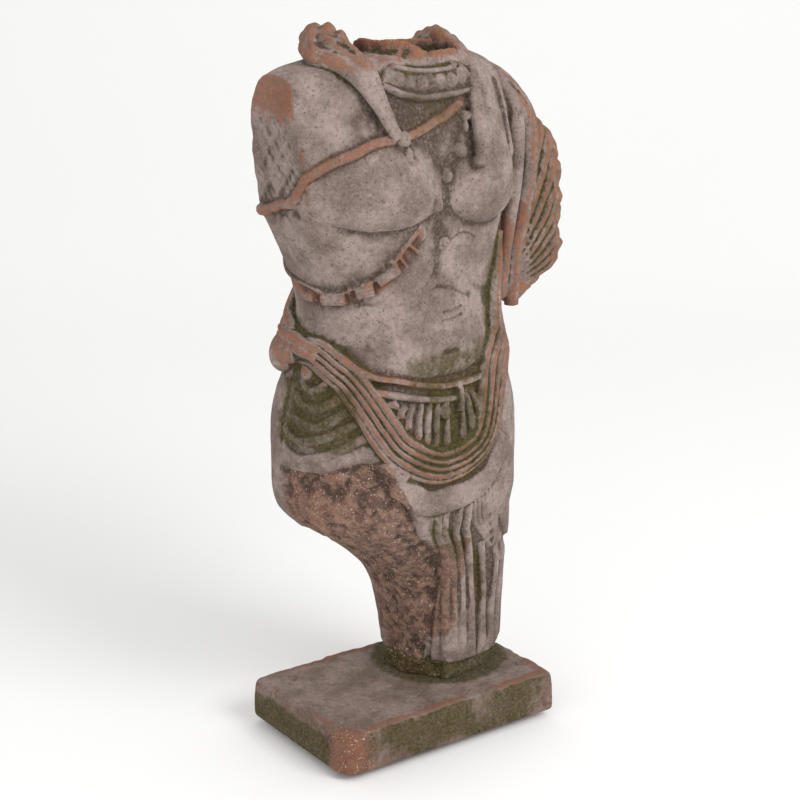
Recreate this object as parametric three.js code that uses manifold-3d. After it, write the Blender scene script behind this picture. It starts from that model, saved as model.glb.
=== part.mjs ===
// Garden torso: a broken standing figure in cast stone, bare-chested, with a shawl, a looped hip
// cloth and chains of beads and amulets, set on a low slab plinth. Both arms, the neck and the
// right leg are broken off.
//
// Millimetres, +Z up. The origin is the middle of the plinth's underside. The figure faces -Y,
// turned a few degrees to its left, so +X is the figure's left.
//
// The body is one loft of superellipse sections. Cloth, straps, collar and chains are profiles
// carried along paths on that skin, joined to it with boolean unions, because the real figure is
// one casting. The plinth is a second casting.
import * as THREE from "three";
import { mergeVertices } from "three/addons/utils/BufferGeometryUtils.js";
import Module from "manifold-3d";

const wasm = await Module();
wasm.setup();

// Driving sizes.
const PLINTH = { width: 406, depth: 266, height: 66, edge: 8, corner: 8, wornCorner: 28 };
const SEAT_GAP = 0.3; // the two castings touch with a hairline gap
const FIGURE = { turn: 5.4, x: -5, y: 25 }; // where the trunk's axis stands on the plinth
const FOOT_Z = PLINTH.height + SEAT_GAP;
const NECK_Z = 1064;

// Body sections from the foot to the neck: height, centre to the left, centre forward, half width
// left, half width right, front depth, back depth, squareness.
const BODY = [
  [FOOT_Z, 93, 6, 83, 86, 78, 80, 2.2],
  [92, 93, 6, 83, 86, 78, 80, 2.2],
  [96, 93, 6, 92, 91, 88, 88, 2.2],
  [110, 93, 6, 92, 92, 88, 88, 2.3],
  [165, 90, 6, 96, 98, 90, 90, 2.4],
  [205, 86, 6, 102, 104, 92, 92, 2.4],
  [245, 72, 6, 120, 112, 98, 95, 2.4],
  [285, 50, 6, 148, 130, 108, 105, 2.4],
  [320, 28, 4, 168, 150, 120, 115, 2.4],
  [345, 10, 2, 186, 176, 130, 122, 2.4],
  [375, 0, 2, 194, 190, 138, 128, 2.5],
  [430, -2, 0, 198, 196, 142, 134, 2.5],
  [500, -2, 0, 196, 196, 142, 136, 2.5],
  [560, -2, 0, 184, 186, 136, 128, 2.4],
  [610, 0, 0, 168, 168, 128, 114, 2.2],
  [650, 0, 0, 160, 160, 120, 106, 2.2],
  [690, 0, 0, 160, 160, 116, 106, 2.2],
  [740, 0, 0, 168, 170, 116, 110, 2.3],
  [800, 0, 0, 180, 196, 118, 116, 2.4],
  [860, 0, 0, 190, 218, 120, 114, 2.5],
  [920, 0, 0, 194, 230, 116, 108, 2.5],
  [970, 0, 0, 192, 234, 106, 100, 2.5],
  [1000, 0, 2, 182, 228, 95, 92, 2.5],
  [1020, 2, 6, 166, 214, 84, 92, 2.3],
  [1036, 4, 12, 140, 168, 75, 82, 2.2],
  [1050, 8, 18, 100, 116, 66, 70, 2.1],
  [NECK_Z, 10, 24, 68, 74, 58, 60, 2.0],
];
// The right arm broke off along this upright plane: height, distance from the axis.
const ARM_BREAK = [
  [740, 280],
  [800, 215],
  [845, 200],
  [880, 204],
  [950, 209],
  [1030, 211],
];
// The cloth still hanging from the lost left arm, as sections like the body's.
const ARM_CLOTH = [
  [652, 238, 10, 14, 14, 14, 16, 2.0],
  [668, 250, 2, 36, 36, 26, 30, 2.6],
  [686, 256, -8, 70, 50, 34, 40, 3.0],
  [740, 256, -14, 78, 60, 38, 44, 3.2],
  [790, 256, -16, 78, 60, 40, 46, 3.2],
  [820, 256, -16, 80, 60, 40, 48, 3.2],
  [855, 254, -16, 74, 60, 40, 50, 3.2],
  [895, 250, -16, 66, 60, 40, 52, 3.0],
  [925, 240, -14, 48, 60, 38, 52, 2.6],
  [960, 214, -10, 36, 50, 34, 50, 2.3],
  [990, 180, -6, 24, 40, 26, 40, 2.2],
];

const radians = THREE.MathUtils.degToRad;

// Rows of [x, values...] as smooth curves of x: cubics whose slope is zero at a turning point.
function smoothRows(rows) {
  const slopes = rows.map((row, i) => row.slice(1).map((value, k) => {
    if (i === 0 || i === rows.length - 1) {
      const [a, b] = i === 0 ? [rows[0], rows[1]] : [rows[i - 1], row];
      return (b[k + 1] - a[k + 1]) / (b[0] - a[0]);
    }
    const [before, after] = [rows[i - 1], rows[i + 1]];
    const [h0, h1] = [row[0] - before[0], after[0] - row[0]];
    const [d0, d1] = [(value - before[k + 1]) / h0, (after[k + 1] - value) / h1];
    return d0 * d1 <= 0 ? 0 : (d0 * h1 + d1 * h0) / (h0 + h1);
  }));
  return (x) => {
    const at = THREE.MathUtils.clamp(x, rows[0][0], rows[rows.length - 1][0]);
    let i = 0;
    while (i < rows.length - 2 && at > rows[i + 1][0]) i += 1;
    const h = rows[i + 1][0] - rows[i][0];
    const t = (at - rows[i][0]) / h;
    return rows[i].slice(1).map((value, k) =>
      (1 + 2 * t) * (1 - t) ** 2 * value + t * (1 - t) ** 2 * h * slopes[i][k]
      + t * t * (3 - 2 * t) * rows[i + 1][k + 1] + t * t * (t - 1) * h * slopes[i + 1][k]);
  };
}

// A point of a superellipse section. The angle runs from the front towards the figure's left.
function sectionPoint([cx, forward, left, right, front, back, square], angle) {
  const [s, c] = [Math.sin(angle), Math.cos(angle)];
  const reach = (v) => Math.sign(v) * Math.abs(v) ** (2 / square);
  return [cx + (s > 0 ? left : right) * reach(s), forward + (c > 0 ? front : back) * reach(c)];
}

// Height of a rounded swelling, crisp or soft at its upper and lower edge by the two powers.
function mound(x, z, m) {
  const dz = (z - m.z) / (z > m.z ? m.up : m.down);
  const r2 = ((x - m.x) / m.across) ** 2 + dz * dz;
  if (r2 >= 1) return 0;
  const low = THREE.MathUtils.smoothstep(0.5 - (0.5 * dz) / Math.sqrt(r2 + 1e-9), 0, 1);
  return m.height * (1 - r2) ** (m.top + (m.bottom - m.top) * low);
}
const FLESH = [
  { x: -100, z: 860, across: 96, up: 130, down: 60, height: 30, top: 1.8, bottom: 0.55 }, // right breast
  { x: 92, z: 860, across: 88, up: 130, down: 64, height: 30, top: 1.8, bottom: 0.55 }, // left breast
  { x: 0, z: 606, across: 118, up: 64, down: 66, height: 16, top: 0.7, bottom: 1.4 }, // belly
];

// Lumps of a broken face, from crossed waves of three sizes.
function rubble(x, y, z) {
  return [52, 27, 15].reduce((sum, size, i) => sum + (size / 52)
    * Math.sin(x / size * 5 + i * 2.1) * Math.sin(y / size * 5 + i * 1.3 + 0.7)
    * Math.sin(z / size * 5 + i * 0.9 + 1.9), 0);
}
const smooth = THREE.MathUtils.smoothstep;

// Where the right leg broke away: below this height on the thigh, right of this line on the leg.
const BREAK_TOP = smoothRows([[-205, 478], [-182, 497], [-141, 514], [-98, 450], [-47, 389], [-20, 300], [15, 191], [26, 60]]);
const BREAK_DEPTH = 10;
function brokenLeg(x, forward, z) {
  const facing = smooth(forward, -60, 10) * smooth(205 + x, -10, 16);
  return x > 40 ? 0 : facing * smooth(BREAK_TOP(x)[0] - z, -4, 10) * smooth(z, 97, 108);
}

const bodyAt = smoothRows(BODY);
const armBreakAt = smoothRows(ARM_BREAK);

// The skin of the body: the section, swollen by the flesh, worn back where the leg broke off, and
// cut by the plane of the lost arm.
function skin(angle, z) {
  const section = bodyAt(z);
  let [x, forward] = sectionPoint(section, angle);
  const [cx, cf, left, right, front, back] = section;
  const normal = new THREE.Vector2(
    (x - cx) / (x > cx ? left : right) ** 2,
    (forward - cf) / (forward > cf ? front : back) ** 2,
  ).normalize();
  const swell = Math.cos(angle) > 0 ? FLESH.reduce((sum, m) => sum + mound(x, z, m), 0) : 0;
  const broken = brokenLeg(x, forward, z);
  const out = swell - broken * (BREAK_DEPTH - 5 * rubble(x, forward, z));
  x += normal.x * (swell * 0.4 + out - swell);
  forward += normal.y * out;
  const wall = -armBreakAt(z)[0];
  if (x < wall) x = wall + 3 * rubble(0, forward, z);
  return new THREE.Vector3(x, -forward, z);
}

function skinNormal(angle, z) {
  const across = skin(angle + 0.02, z).sub(skin(angle - 0.02, z));
  const up = skin(angle, Math.min(z + 3, NECK_Z)).sub(skin(angle, z - 3));
  return across.cross(up).normalize();
}

// A closed surface from rings of points, each ring anticlockwise about the way it travels.
function closedRings(rings) {
  const count = rings[0].length;
  const points = rings.flat();
  const index = [];
  for (let i = 0; i < rings.length - 1; i += 1) {
    for (let j = 0; j < count; j += 1) {
      const [a, b] = [i * count + j, i * count + ((j + 1) % count)];
      index.push(a, b, b + count, a, b + count, a + count);
    }
  }
  [[0, 1], [rings.length - 1, 0]].forEach(([ring, turned]) => {
    const middle = rings[ring].reduce((sum, p) => sum.add(p), new THREE.Vector3()).divideScalar(count);
    points.push(middle);
    for (let j = 0; j < count; j += 1) {
      const [a, b] = [ring * count + j, ring * count + ((j + 1) % count)];
      index.push(...(turned ? [b, a] : [a, b]), points.length - 1);
    }
  });
  return new THREE.BufferGeometry().setFromPoints(points).setIndex(index);
}

function solid(geometry) {
  const bare = geometry.clone();
  bare.deleteAttribute("normal");
  bare.deleteAttribute("uv");
  const merged = mergeVertices(bare, 1e-3);
  const made = new wasm.Manifold(new wasm.Mesh({
    numProp: 3,
    vertProperties: new Float32Array(merged.attributes.position.array),
    triVerts: new Uint32Array(merged.index.array),
  }));
  return made;
}

function geometryOf(made) {
  const mesh = made.getMesh();
  const geometry = new THREE.BufferGeometry();
  geometry.setAttribute("position", new THREE.BufferAttribute(mesh.vertProperties, 3));
  geometry.setIndex(new THREE.BufferAttribute(mesh.triVerts, 1));
  geometry.computeVertexNormals();
  return geometry;
}

// Body: rings close together where the form turns quickly, wider apart on the long plain parts.
function steps(from, to, count) {
  return Array.from({ length: count }, (_, i) => from + ((to - from) * i) / count);
}

const BODY_COLUMNS = 34;
const bodyHeights = [
  FOOT_Z,
  92,
  ...steps(96, 230, 3),
  ...steps(230, 380, 6),
  ...steps(380, 780, 9),
  ...steps(780, 830, 4),
  ...steps(830, 1000, 4),
  ...steps(1000, NECK_Z, 4),
  NECK_Z,
];
// The neck broke off unevenly: its rim rises and falls round the top of the loft.
function neckRim(angle) {
  const point = skin(angle, NECK_Z);
  point.z += 9 + 5 * Math.sin(3 * angle + 1) + 4 * Math.sin(7 * angle + 2);
  return point;
}
const around = (count) => Array.from({ length: count }, (_, j) => (j / count) * 2 * Math.PI);
const bodyRings = bodyHeights.map((z) => around(BODY_COLUMNS).map((angle) => skin(angle, z)));
bodyRings.push(around(BODY_COLUMNS).map(neckRim));
let figure = solid(closedRings(bodyRings));

const join = (...geometries) => {
  figure = geometries.reduce((sum, geometry) => sum.add(solid(geometry)), figure);
};
const lerp = THREE.MathUtils.lerp;

// A band of cloth or leather lying on the skin. Nodes are [degrees round, height, lift]; the
// profile is a low arch with rounded ridges, and its foot is sunk below the skin.
function band(nodes, { width, thick, ridges = 0, groove = 0.4, sink = 9, count, across = 3, ends = 0.5 }) {
  const route = new THREE.CatmullRomCurve3(nodes.map((node) => new THREE.Vector3(node[0], node[1], node[2] ?? 0)));
  const length = count ?? Math.ceil(nodes.length * 1.2);
  const place = (t) => {
    const node = route.getPoint(THREE.MathUtils.clamp(t, 0, 1));
    const normal = skinNormal(radians(node.x), node.y);
    return { normal, point: skin(radians(node.x), node.y).addScaledVector(normal, node.z) };
  };
  const rings = [];
  for (let i = 0; i <= length; i += 1) {
    const t = i / length;
    const { point, normal } = place(t);
    const along = place(t + 0.01).point.sub(place(t - 0.01).point).normalize();
    const side = new THREE.Vector3().crossVectors(along, normal).normalize();
    const up = new THREE.Vector3().crossVectors(side, along).normalize();
    const half = (Array.isArray(width) ? lerp(width[0], width[1], t) : width) / 2;
    const height = thick * lerp(ends, 1, smooth(Math.min(t, 1 - t), 0, 0.12));
    const at = (u, rise) => point.clone().addScaledVector(side, u * half).addScaledVector(up, rise);
    const ring = Array.from({ length: across }, (_, k) => {
      const u = (2 * k) / (across - 1) - 1;
      const ridge = ridges ? 1 - groove * (0.5 - 0.5 * Math.cos(Math.PI * 2 * ridges * ((u + 1) / 2) + Math.PI)) : 1;
      return at(u, height * Math.sqrt(1 - 0.85 * u * u) * ridge);
    });
    rings.push([...ring, at(0.8, -sink), at(-0.8, -sink)]);
  }
  return closedRings(rings);
}

// A roll of cloth that leaves the skin. Nodes are [left, forward, height, half width, half
// thickness]; its flat side turns to the way it faces.
function roll(nodes, { ridges = 0, groove = 0.25, sides = 10, count, facing = [0, -1, 0] }) {
  const route = new THREE.CatmullRomCurve3(nodes.map(([x, forward, z]) => new THREE.Vector3(x, -forward, z)));
  const sizes = smoothRows(nodes.map((node, i) => [i, node[3], node[4]]));
  const length = count ?? nodes.length * 2;
  const outward = new THREE.Vector3(...facing);
  const rings = [];
  for (let i = 0; i <= length; i += 1) {
    const t = i / length;
    const along = route.getTangent(t);
    const side = new THREE.Vector3().crossVectors(along, outward).normalize();
    const up = new THREE.Vector3().crossVectors(side, along).normalize();
    const [half, thick] = sizes(t * (nodes.length - 1));
    rings.push(around(sides).map((a) => {
      const ridge = ridges ? 1 - groove * (0.5 - 0.5 * Math.cos(2 * ridges * a)) : 1;
      return route.getPoint(t).addScaledVector(side, -Math.cos(a) * half)
        .addScaledVector(up, Math.sin(a) * thick * ridge);
    }));
  }
  return closedRings(rings);
}

// A bead, rosette or knot lying on the skin: a ball, flattened along the skin's normal.
function bead(degrees, z, [half, tall, thick], lift = 0) {
  const normal = skinNormal(radians(degrees), z);
  const geometry = new THREE.SphereGeometry(1, 5, 3);
  geometry.scale(half, tall, thick);
  geometry.applyQuaternion(new THREE.Quaternion().setFromUnitVectors(new THREE.Vector3(0, 0, 1), normal));
  const point = skin(radians(degrees), z).addScaledVector(normal, lift);
  return geometry.translate(point.x, point.y, point.z);
}

// Shawl: laid round the back of the neck. Its right end comes down to the clasp of the chest
// strap, its left end is a rolled tip on the breast.
join(
  roll([
    [0, -52, 1036, 20, 14], [-50, -56, 1044, 24, 16], [-84, -40, 1064, 30, 18], [-98, -8, 1076, 32, 18],
    [-106, 32, 1060, 30, 16], [-114, 66, 1036, 24, 12], [-110, 88, 1010, 19, 11], [-99, 100, 985, 15, 10],
    [-90, 110, 964, 11, 9], [-84, 117, 948, 9, 8],
  ], { sides: 7, count: 11, facing: [-0.3, -0.55, 0.8] }),
  roll([
    [0, -52, 1036, 20, 14], [40, -46, 1048, 24, 16], [72, -14, 1064, 28, 17], [92, 20, 1062, 28, 16],
    [92, 56, 1044, 22, 14], [85, 84, 1016, 15, 13], [82, 100, 985, 12, 12], [73, 116, 950, 11, 11],
    [65, 130, 914, 11, 11], [62, 134, 902, 9, 9],
  ], { sides: 6, count: 11, facing: [0.2, -0.6, 0.8] }),
);

// Collar: a broad jewelled band under the throat with a rolled lower rim and round bosses.
const COLLAR = [[-34, 1040], [-20, 1027], [-11, 1019], [-5, 1014], [1, 1011], [9, 1013], [17, 1016], [26, 1024]];
const BOSSES = [[-13.8, 1026], [-1.3, 1017], [8.4, 1017], [16.5, 1021]];
join(
  band(COLLAR, { width: 36, thick: 7 }),
  band(COLLAR.map(([turn, z]) => [turn, z - 19]), { width: 9, thick: 9 }),
  ...BOSSES.map(([turn, z]) => bead(turn, z, [10, 10, 5], 7)),
);

// Chest strap: from under the collar to the clasp, across the right breast, under the lost arm
// and up the back to the left shoulder.
const STRAP = [
  [12, 993], [2, 974], [-6, 957], [-14.7, 951], [-25.7, 948], [-36.5, 934], [-48, 921], [-66.3, 895],
  [-79.9, 867], [-92, 853], [-108.7, 839], [-128, 836], [-146, 852], [-165, 884], [-184, 920], [-202, 950],
];
join(
  band(STRAP, { width: 15, thick: 5, count: 14 }),
  bead(-15.5, 949, [10, 10, 8], 2),
  bead(-14, 929, [5, 9, 5], 1),
);

// Beads: a string from the collar down between the breasts to the amulets.
const BEADS = [
  [12.4, 992, 4, 6, 5], [9.9, 975, 7, 6, 6], [6.6, 951, 7, 8, 5], [5.6, 936, 4, 8, 4], [2.8, 916, 8, 8, 6],
  [-0.6, 883, 7, 10, 7], [-5.2, 849, 7, 10, 6], [-10.1, 826, 8, 9, 5], [-1.5, 805, 6, 6, 4],
];
join(...BEADS.map(([turn, z, ...size]) => bead(turn, z, size, 1)));

// Amulets: a cord round the right side with tube-shaped cases hanging under it.
const AMULET_CORD = [
  [-9, 822], [-15.1, 797], [-19, 782], [-25, 768], [-36.6, 748], [-46.1, 738], [-57, 731], [-70, 727],
  [-86, 728], [-97.5, 732], [-112, 742], [-130, 762], [-150, 790], [-172, 822], [-192, 850],
];
const CASES = [
  [[-12.5, 792], [-17, 776], 14], [[-25, 759], [-36, 743], 17], [[-42, 736], [-52, 729], 16],
  [[-62, 719], [-75, 717], 17], [[-84, 717], [-91, 718], 15],
];
join(
  band(AMULET_CORD, { width: 7, thick: 5, count: 12 }),
  ...CASES.map(([from, to, width]) =>
    band([from, to], { width, thick: 10, count: 1, ends: 0.9 })),
);

// Belt: a flat band over a cord, tied in front, with the gathered skirt below it.
const BELT = [[-60, 628], [-51.8, 616], [-40, 603], [-25.3, 594], [-8.5, 582], [1.7, 577], [15.5, 578], [30, 592]];
join(
  band(BELT, { width: 13, thick: 8, count: 8 }),
  band(BELT.map(([turn, z], i) => [turn, z - 17 - i * 0.5]), { width: 11, thick: 7, count: 8 }),
  band([[0.5, 574], [-0.3, 556], [-0.5, 540]], { width: 12, thick: 13, count: 2 }),
  bead(-5, 546, [8, 9, 8], 4),
);
for (let turn = -20; turn <= 16; turn += 7) {
  const low = 492 + 0.11 * (turn + 2) ** 2;
  join(band([[turn * 0.9, 562], [turn, (562 + low) / 2], [turn, low]], { width: 11, thick: 6, count: 2 }));
}

// Swag: a rope of folds from a knot on the right hip, low across the front and up the left side,
// and, behind, from the same knot up the back to the left shoulder.
const SWAG = [
  [-104, 636], [-90, 622], [-73, 618], [-56, 588], [-38, 544], [-24, 502], [-12, 470], [-2, 452],
  [7, 457], [16.5, 486], [26, 532], [36, 578], [46, 622], [55, 668], [62, 716], [68, 770],
];
const BACK_SHAWL = [
  [-96, 630], [-112, 642, 8], [-130, 662, 14], [-150, 700, 8], [-172, 752], [-192, 806], [-208, 858], [-222, 910],
  [-238, 958], [-250, 990],
];
join(
  band(SWAG, { width: [60, 66], thick: 19, ridges: 3, groove: 0.3, across: 7, count: 16, sink: 12 }),
  band(BACK_SHAWL, { width: [56, 84], thick: 15, ridges: 2, groove: 0.35, across: 5, count: 10, sink: 12 }),
  bead(-112, 622, [34, 36, 26], 6),
  bead(-128, 652, [34, 40, 24], 8),
);

// Skirt: its hem under the swag, the folds drawn round the right thigh, the side panel on the
// left, and the long pleats down the leg.
join(
  band([[-36, 478], [-24, 440], [-12, 407], [-2, 402], [8, 406], [20, 425], [32, 470]],
    { width: 40, thick: 9, count: 6 }),
  band([[92, 600], [94, 520], [97, 400], [98, 282]], { width: [150, 120], thick: 11, ridges: 2, across: 5, count: 3, ends: 0.9 }),
);
const THIGH_FOLDS = [
  [[-97, 574], [-83, 577], [-68, 588]], [[-96, 536], [-80, 540], [-58, 563]],
  [[-96, 497], [-75, 503], [-49, 534]],
];
join(...THIGH_FOLDS.map((nodes) => band(nodes, { width: 16, thick: 5, count: 2 })));
const PLEATS = [
  [[-10, 375], [-23, 294], [-38, 209], [-43, 103]], [[-4, 380], [-14, 292], [-25, 207], [-29, 99]],
  [[0, 382], [-6, 288], [-12, 203], [-14, 97]], [[5, 382], [2, 284], [1, 197], [2, 97]],
  [[32, 280], [28, 240], [22, 180], [22, 97]], [[58, 270, -3], [50, 220, -3], [45, 160, -3], [44, 97, -2]],
];
join(...PLEATS.map((nodes) => band(nodes, { width: [12, 17], thick: 7, count: 3 })));
const LOOPED_FOLDS = [0, 2].map((i) => [
  [9 + i * 3, 392], [12 + i * 2.5, 336 + i * 12], [20, 306 + i * 18], [28 - i * 2, 334 + i * 12], [34 - i * 3, 392],
]);
join(...LOOPED_FOLDS.map((nodes) => band(nodes, { width: 10, thick: 6, count: 4 })));

// Left shoulder: the cloth over the lost arm, its folds fanning from the rolled tip, and the
// long roll of folds that comes over the shoulder in front of it.
const armAt = smoothRows(ARM_CLOTH);
function armSkin(angle, z) {
  const [x, forward] = sectionPoint(armAt(z), angle);
  const ragged = x > 270 ? 4 * rubble(x, forward, z) : 0;
  return new THREE.Vector3(x + ragged, -forward, z);
}
const armHeights = [652, 660, 669, 686, ...steps(710, 925, 5), 925, 945, 965, 990];
join(closedRings(armHeights.map((z) => around(16).map((angle) => armSkin(angle, z)))));
for (let fan = 3; fan < 80; fan += 15) {
  const [s, c] = [Math.sin(radians(fan)), Math.cos(radians(fan))];
  const reach = Math.min(104 / c, 224);
  join(roll([50, (50 + reach) / 2, reach].map((r, i) => [212 + c * r, 20 - i * 2, 674 + s * r, 8 + i, 7]),
    { sides: 5, count: 2 }));
}
join(roll([
  [60, -10, 1040, 26, 16], [105, 10, 1036, 30, 18], [150, 24, 1012, 30, 18], [192, 32, 984, 28, 18],
  [220, 38, 944, 24, 18], [234, 42, 886, 22, 18], [229, 44, 822, 20, 17], [220, 46, 760, 18, 16],
  [212, 46, 712, 15, 14], [207, 45, 670, 12, 12], [204, 45, 646, 9, 9],
], { sides: 8, count: 14, facing: [0.45, -0.75, 0.45] }));

// Where two cloths meet over a pocket of air the casting is solid: only its outer shell is kept.
figure = figure.decompose().reduce((outer, shell) => (shell.volume() > outer.volume() ? shell : outer));

const torsoStone = new THREE.MeshStandardMaterial({ color: 0x86796c, roughness: 0.95, metalness: 0 });
const torso = new THREE.Mesh(geometryOf(figure), torsoStone);
torso.name = "torso";
const standing = new THREE.Group();
standing.position.set(FIGURE.x, FIGURE.y, 0);
standing.rotation.z = radians(FIGURE.turn);
standing.add(torso);

// Plinth: a slab with worn edges and rounded corners, a little wider near its foot.
function plinthRing(z, inset) {
  const [halfX, halfY] = [PLINTH.width / 2 - inset, PLINTH.depth / 2 - inset];
  const [r, worn] = [PLINTH.corner, PLINTH.wornCorner];
  const outline = new THREE.Shape();
  outline.moveTo(halfX - r, -halfY).quadraticCurveTo(halfX, -halfY, halfX, -halfY + r);
  outline.lineTo(halfX, halfY - r).quadraticCurveTo(halfX, halfY, halfX - r, halfY);
  outline.lineTo(-halfX + r, halfY).quadraticCurveTo(-halfX, halfY, -halfX, halfY - r);
  outline.lineTo(-halfX, -halfY + worn).quadraticCurveTo(-halfX, -halfY, -halfX + worn, -halfY);
  outline.closePath();
  return outline.getSpacedPoints(28).slice(0, 28).map(({ x, y }) => {
    const wear = 1.6 * rubble(x, y, z);
    return new THREE.Vector3(x - Math.sign(x) * wear, y - Math.sign(y) * wear, z);
  });
}
const plinthStone = new THREE.MeshStandardMaterial({ color: 0x7d7060, roughness: 0.95, metalness: 0 });
const plinth = new THREE.Mesh(
  closedRings([[0, 3], [5, 0.8], [30, 1.5], [PLINTH.height - PLINTH.edge, 1.5],
    [PLINTH.height - 2.5, 3.5], [PLINTH.height, PLINTH.edge]].map(([z, inset]) => plinthRing(z, inset))),
  plinthStone,
);
plinth.name = "plinth";

const statue = new THREE.Group();
statue.add(standing, plinth);
export default statue;
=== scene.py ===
"""A broken garden torso in cast stone on a slab plinth.

The figure is one casting. Its body is a loft: at each height a superellipse section, swollen by
rounded mounds of flesh and cut back where an arm and a leg have broken off. Cloth, straps, beads
and amulets are profiles carried along paths on that skin. All of these closed surfaces are fused
into one skin, worn smooth, then roughened by sums of three-dimensional value noise.
Lengths are in millimetres in the figure's own frame until to_row() turns them into metres in the
frame of the row.
"""

import math

import bpy
import numpy as np
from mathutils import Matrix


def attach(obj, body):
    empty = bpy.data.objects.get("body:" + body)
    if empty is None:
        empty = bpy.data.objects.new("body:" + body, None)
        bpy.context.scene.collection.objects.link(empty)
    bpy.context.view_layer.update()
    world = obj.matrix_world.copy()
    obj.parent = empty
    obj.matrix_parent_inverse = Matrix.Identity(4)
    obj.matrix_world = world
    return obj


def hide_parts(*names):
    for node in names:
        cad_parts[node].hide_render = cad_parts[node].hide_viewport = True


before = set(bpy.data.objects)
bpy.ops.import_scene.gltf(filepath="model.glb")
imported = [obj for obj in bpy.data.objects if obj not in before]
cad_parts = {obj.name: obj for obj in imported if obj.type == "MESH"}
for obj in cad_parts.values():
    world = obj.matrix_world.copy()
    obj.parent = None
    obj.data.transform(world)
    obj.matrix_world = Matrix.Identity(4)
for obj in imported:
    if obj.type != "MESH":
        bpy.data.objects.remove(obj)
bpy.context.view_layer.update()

# Camera. It stands at eye height, a few paces off the figure's right front, and looks down a little.
EYE_DISTANCE = 2.9
EYE_HEIGHT = 1.465
EYE_TURN = math.radians(-35.6)
LOOK_TURN = math.radians(-35.47)
LOOK_DOWN = math.radians(17.95)
eye = bpy.data.objects.new("eye", bpy.data.cameras.new("eye"))
bpy.context.scene.collection.objects.link(eye)
eye.location = (EYE_DISTANCE * math.sin(EYE_TURN), -EYE_DISTANCE * math.cos(EYE_TURN), EYE_HEIGHT)
eye.rotation_euler = (math.pi / 2 - LOOK_DOWN, 0, LOOK_TURN)
eye.data.lens = 89.95
eye.data.sensor_width = 36
bpy.context.scene.camera = eye


# --- Body -------------------------------------------------------------------------------------
# Chest, waist, hips and the left leg down to its low foot pad: the core of the casting, poured
# in a damp sandy mix and rubbed smooth on the flesh.
TURN = math.radians(5.4)
AXIS = (-5.0, 25.0)
FOOT_Z = 66.3
NECK_Z = 1062.0
# height, centre left, centre forward, half width left and right, depth front and back, squareness
BODY = np.array([
    (66.3, 93, 6, 83, 86, 78, 80, 2.2), (92, 93, 6, 83, 86, 78, 80, 2.2),
    (96, 93, 6, 91, 91, 88, 88, 2.2), (110, 93, 6, 91, 92, 88, 88, 2.3),
    (165, 90, 6, 94, 98, 90, 90, 2.4), (205, 86, 6, 100, 104, 92, 92, 2.4),
    (245, 72, 6, 116, 112, 98, 95, 2.4), (285, 50, 6, 142, 130, 108, 105, 2.4),
    (320, 28, 4, 164, 150, 120, 115, 2.4), (345, 10, 2, 182, 172, 130, 122, 2.4),
    (375, 0, 2, 192, 190, 138, 128, 2.5), (430, -2, 0, 195, 195, 142, 134, 2.5),
    (500, -2, 0, 193, 194, 142, 136, 2.5), (560, -2, 0, 182, 186, 136, 128, 2.4),
    (610, 0, 0, 168, 174, 128, 114, 2.2), (650, 0, 0, 160, 160, 120, 106, 2.2),
    (690, 0, 0, 160, 160, 116, 106, 2.2), (740, 0, 0, 168, 170, 116, 110, 2.3),
    (800, 0, 0, 180, 196, 118, 116, 2.4), (860, 0, 0, 190, 226, 120, 114, 2.5),
    (920, 0, 0, 194, 240, 116, 108, 2.5), (970, 0, 0, 192, 244, 108, 100, 2.5),
    (1000, 0, 2, 184, 243, 98, 93, 2.5), (1020, 0, 6, 170, 238, 90, 92, 2.5),
    (1036, 2, 10, 148, 226, 80, 86, 2.4), (1047, 4, 14, 118, 196, 72, 78, 2.3),
    (1055, 8, 18, 92, 140, 68, 70, 2.1), (1062, 10, 22, 74, 84, 62, 62, 2.0),
])
# The rim of the broken neck: degrees from the front, height.
NECK_RIM = np.array([
    (-180, 1052), (-150, 1062), (-120, 1072), (-85, 1080), (-55, 1080), (-32, 1076), (-12, 1064),
    (10, 1063), (36, 1058), (62, 1050),
    (100, 1042), (130, 1038), (155, 1044), (180, 1052),
], float)
# The plane that the right arm broke off along: height, distance from the axis.
ARM_BREAK = np.array([(740, 280), (800, 212), (845, 196), (880, 200), (950, 210), (1000, 217), (1040, 214)],
    float)
# The line on the right thigh and leg below which the stone broke away: left of axis, height.
LEG_BREAK = np.array([
    (-205, 448), (-182, 466), (-153, 482), (-136, 482), (-112, 458), (-90, 420), (-55, 353), (-20, 315),
    (8, 262),
    (19, 196), (22, 100),
], float)
# Lower edge of the outer cloth round the front, left side and back: degrees from the front, height.
OUTER_HEM = np.array([
    (-36, 478), (-24, 440), (-12, 407), (-2, 392), (8, 391), (18, 398), (26, 372), (34, 326), (44, 290),
    (60, 277), (100, 276), (140, 282), (180, 296), (220, 330),
], float)
# Flesh: centre left, centre height, half width, reach up, reach down, swell, edge powers up and down.
FLESH = np.array([
    (-104, 864, 98, 130, 44, 30, 1.8, 0.6), (92, 862, 88, 130, 56, 29, 1.8, 0.6),
    (6, 654, 124, 70, 66, 14, 1.4, 0.9),
])


def ease(x, low, high):
    """Smooth step: 3t^2 - 2t^3 of how far x is from low to high."""
    t = np.clip((x - low) / (high - low), 0, 1)
    return t * t * (3 - 2 * t)


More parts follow.
